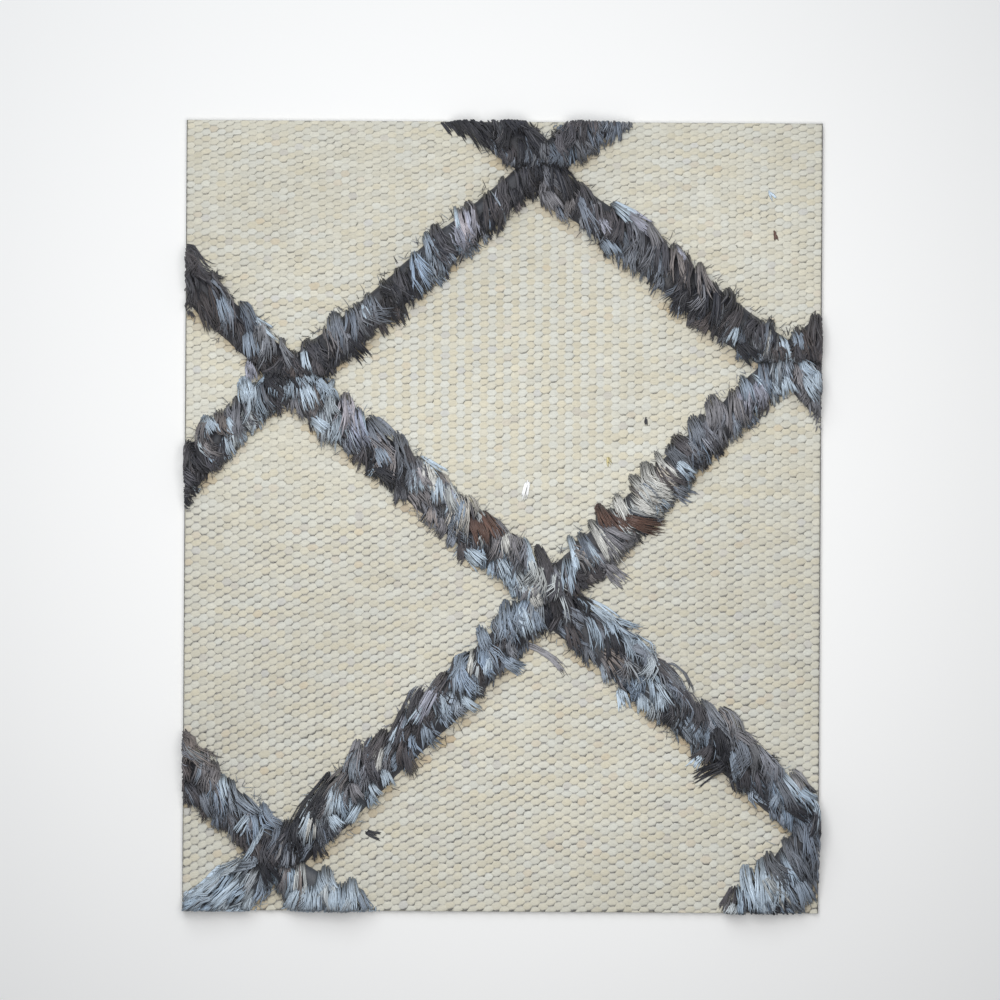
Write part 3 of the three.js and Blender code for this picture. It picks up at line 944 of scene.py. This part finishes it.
def nearest_band(x, y):
    """The number of the band whose middle line is nearest to each place."""
    away = []
    for band in BANDS:
        high, down, side, length = band_frame(band)
        along = np.clip((x - high[0]) * down[0] + (y - high[1]) * down[1], 0, length)
        away.append(np.hypot(x - high[0] - along * down[0], y - high[1] - along * down[1]))
    return np.argmin(away, 0)


def loose_locks():
    """The locks of the table. Each is some wisps that spread from three fifths of its width at the root to
    all of it at the tip, and lies on top of the pile. Gives their strands and the band that each belongs
    to."""
    rows = [line.split() for line in LOOSE_LOCKS.strip().splitlines()]
    x, y, to_x, to_y, wide = np.array([row[:5] for row in rows], float).T
    bend = np.radians([float(row[6]) if row[6:] else 0.0 for row in rows])
    toward = np.arctan2(to_y - y, to_x - x)
    size = np.hypot(to_x - x, to_y - y) / np.sinc(bend / 2 / np.pi)
    # wisps of each lock
    wisps = np.maximum(2, np.round(wide / LOOSE_WISP)).astype(int)
    lock = np.repeat(np.arange(len(x)), wisps)
    n = len(lock)
    place = (np.arange(n) - np.searchsorted(lock, lock) + 0.5) / wisps[lock] * 2 - 1
    tone = np.array([to_linear(TONES[row[5]]) for row in rows])[lock]
    tone = tone * np.exp(stray(0.10, n))[:, None]
    wisp_turn, wisp_lift = stray(0.05, n), stray(0.3, n)
    wisp_size = 1 + 0.08 * rng.standard_normal(n)
    # where along each wisp its painted highlight lies; towards both ends of its strands painted shade takes
    # over
    wisp_highlight = rng.uniform(0.40, 0.80, len(x))[lock] + stray(0.06, n)
    wisp_sway, wisp_phase = stray(0.10, n), rng.random(n)
    # strands of each wisp
    wisp = np.repeat(np.arange(n), WISP_STRANDS)
    lock, n = lock[wisp], len(wisp)
    w = np.clip(place[wisp] + stray(0.6, n) / wisps[lock], -1.1, 1.1)
    fan = np.arctan2(0.14 * wide, size)[lock]
    start = toward[lock] - bend[lock] / 2 + w * fan + wisp_turn[wisp] + stray(0.03, n)
    end = toward[lock] + bend[lock] / 2 + w * fan + 2 * wisp_turn[wisp] + stray(0.05, n)
    lengths = size[lock] * wisp_size[wisp] * (1 + 0.08 * rng.standard_normal(n)) * (1 - 0.12 * w ** 2)
    aside = w * 0.38 * wide[lock]
    ahead = 0.4 * wide[lock] * w ** 2 + rng.uniform(-1.5, 1.5, n)
    across = np.array([-np.sin(toward), np.cos(toward)])[:, lock]
    onward = np.array([np.cos(toward), np.sin(toward)])[:, lock]
    root = np.stack([x, y], -1)[lock] + (across * aside + onward * ahead).T
    px, py = walk(root, start, end, lengths, wisp_sway[wisp], wisp_phase[wisp])
    shares, xs, ys, left = trim(px, py)
    depth = rng.random(n)[:, None]
    ease = np.clip((1 - shares) * lengths[:, None] / 6.0, 0, 1)
    crown = np.minimum(wide / 5, 1.6)[lock][:, None] * (1 - w[:, None] ** 2)
    high = pile_top(xs, ys)
    above = (0.9 + crown) * (0.5 + 0.5 * ease) + 0.5 * wisp_lift[wisp][:, None] - 0.4 * depth
    z = WEAVE_TOP + 0.3 + risen(shares, lengths) * (high + above * (high > 0))
    z = np.maximum(z, WEAVE_TOP + 0.2)
    tones = tone[wisp] * np.exp(stray(0.09, n))[:, None]
    width = STRAND_WIDTH * rng.uniform(0.75, 1.2, n)
    own = highlight_along(wisp_highlight[wisp] + stray(0.05, n), 0.52)
    own = np.where((high[:, 2] > 0)[:, None], own, 1.0)
    group = nearest_band((x + to_x) / 2, (y + to_y) / 2)[lock]
    keep = left * lengths > 2.0
    return tuple(a[keep] for a in (xs, ys, z, width, tones, own)), group[keep]


def rim_fuzz(band):
    """Short loose hairs that stand out over a band's upper rim, and a few over the lower one."""
    side, length = band_frame(band)[2:]
    n = int(length / 2.5)
    share = rng.random(n)
    below = rng.random(n) < 0.3
    root = band_places(band, share, np.where(below, -0.85, 0.88))
    outward = math.atan2(side[1], side[0]) + np.where(below, math.pi, 0)
    start = outward + stray(0.9, n)
    end = start + stray(0.35, n)
    lengths = rng.uniform(3.5, 8.0, n)
    x, y = walk(root, start, end, lengths, np.zeros(n), rng.random(n))
    xs, ys, z, keep = lay(band, x, y, lengths, 0.9, rng.uniform(0, 0.8, n))
    tone = tones_along(band["over"], share, 1.0) * 0.85
    own = np.tile(SHORT_OWN, (n, 1))
    return tuple(a[keep] for a in (xs, ys, z, np.full(n, FUZZ_WIDTH), tone, own))


def cut_tufts(band):
    """Short tufts where a band meets the outline: each is rooted up to 4 mm inside the cut and leans the way
    of the locks there, while it rises to about two thirds of the pile's height."""
    length = band_frame(band)[3]
    before, after = overruns(band)
    share = cut_rng.uniform(-before / length, 1 + after / length, CUT_DRAWS)
    across = cut_rng.uniform(-0.95, 0.95, CUT_DRAWS)
    root = band_places(band, share, across)
    inside = from_cut(root[:, 0], root[:, 1])
    near = np.flatnonzero((inside > 0.6) & (inside < CUT_DEPTH))[:CUT_TUFTS]
    root, across, share, n = root[near], across[near], share[near], len(near)
    heading = np.interp(share, [0, 1], [band["tip"][0], band["tip"][-1]])
    heading = (np.radians(heading) + cut_rng.normal(0, 0.5, n))[:, None]
    ahead = cut_rng.uniform(3.0, 6.0, n)[:, None] * STATIONS
    x = root[:, :1] + ahead * np.cos(heading)
    y = root[:, 1:] + ahead * np.sin(heading)
    x, y = move_inside(x, y, EDGE_INSET)
    tall = (cut_rng.uniform(0.45, 0.8, n) * pile_height(across) + 0.8)[:, None]
    z = ROOT_LEVEL + tall * np.sin(STATIONS * 2.2)
    tone = tones_along(band["under"], np.clip(share, 0, 0.999), 0.0) * 0.8
    return x, y, z, cut_rng.uniform(0.8, 1.3, n), tone, np.tile(SHORT_OWN, (n, 1))


def pile_piece(number, band, loose, group):
    """A band's locks and its underwool, joined into one mesh that stands for the band's solid."""
    rows = [comb_locks(band, layer, i) for i, layer in enumerate(LAYERS)] + [rim_fuzz(band)]
    rows.append(tuple(a[group == number] for a in loose))
    rows.append(cut_tufts(band))
    points, triangles, tones, uvs = strand_mesh(*(np.concatenate([r[k] for r in rows]) for k in range(6)))
    mat_points, mat_triangles = dome_mat(band)
    x, y = mat_points[:, 0], mat_points[:, 1]
    along = np.clip(across_band(band, x, y)[1], 0, 0.999)
    # The underwool is painted shade: mostly the dark lock shade, with a little of the band's own tone, and
    # more of it within 1.5 mm of the cut.
    own = np.where(from_cut(x, y) < 1.5, 0.25, 0.06)[:, None]
    mat_shade_tones = own * tones_along(band["under"], along, 0.3) + 0.7 * to_linear(PAINTED_LOCK_SHADE)
    mat_uvs = (mat_points[mat_triangles][..., :2] * 0.5).reshape(-1, 2)
    piece = make_piece(band["node"].replace("pile_", "locks_"), np.concatenate([points, mat_points]),
                       np.concatenate([triangles, mat_triangles + len(points)]), lock_wool,
                       np.concatenate([tones, mat_shade_tones]), np.concatenate([uvs, mat_uvs]))
    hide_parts(band["node"])
    return piece


# Build

sheet = ground_sheet()
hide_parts("ground_cloth")
beads = weft_beads()
loose, group = loose_locks()
pile = [pile_piece(number, band, loose, group) for number, band in enumerate(BANDS)]


# Floor, light and camera

def plain_material(name, colour, roughness):
    material, tree, shader = new_material(name)
    set_inputs(shader, Base_Color=(*colour, 1), Roughness=roughness)
    return material


floor_mesh = bpy.data.meshes.new("floor")
floor_mesh.from_pydata([(-3, -3, 0), (3, -3, 0), (3, 3, 0), (-3, 3, 0)], [], [(0, 1, 2, 3)])
floor_mesh.materials.append(plain_material("pale_floor", (0.96, 0.96, 0.96), 0.9))
floor = bpy.data.objects.new("floor", floor_mesh)
bpy.context.scene.collection.objects.link(floor)
floor.location.z = -0.0002


def area_light(name, place, size, energy, colour):
    """A soft square light at place that faces the middle of the rug."""
    data = bpy.data.lights.new(name, "AREA")
    data.size = size
    data.energy = energy
    data.color = colour
    lamp = bpy.data.objects.new(name, data)
    lamp.location = place
    x, y, z = place
    lamp.rotation_euler = (math.atan2(np.hypot(x, y), z), 0, math.atan2(-y, -x) - math.pi / 2)
    lamp.visible_camera = False
    bpy.context.scene.collection.objects.link(lamp)


area_light("window_side", (-0.35, 1.05, 1.15), 0.9, 7.8, (0.94, 0.975, 1.0))
area_light("overhead", (0.0, 0.02, 0.64), 0.45, 2.75, (1.0, 0.99, 0.97))
world = bpy.data.worlds.new("studio")
world.use_nodes = True
set_inputs(world.node_tree.nodes["Background"], Color=(0.95, 0.97, 1.0, 1), Strength=0.30)
bpy.context.scene.world = world
bpy.context.scene.view_settings.view_transform = "Standard"

LENS, SENSOR = 70.0, 36.0
FRAME_WIDTH = 0.6289  # metres across the picture at the weave's face
camera_data = bpy.data.cameras.new("camera")
camera_data.lens = LENS
camera_data.sensor_width = SENSOR
camera = bpy.data.objects.new("camera", camera_data)
camera.location = (-1.6 * MM, 10.5 * MM, WEAVE_TOP * MM + FRAME_WIDTH * LENS / SENSOR)
camera.rotation_euler = (0, 0, 0.00593)
bpy.context.scene.collection.objects.link(camera)
bpy.context.scene.camera = camera
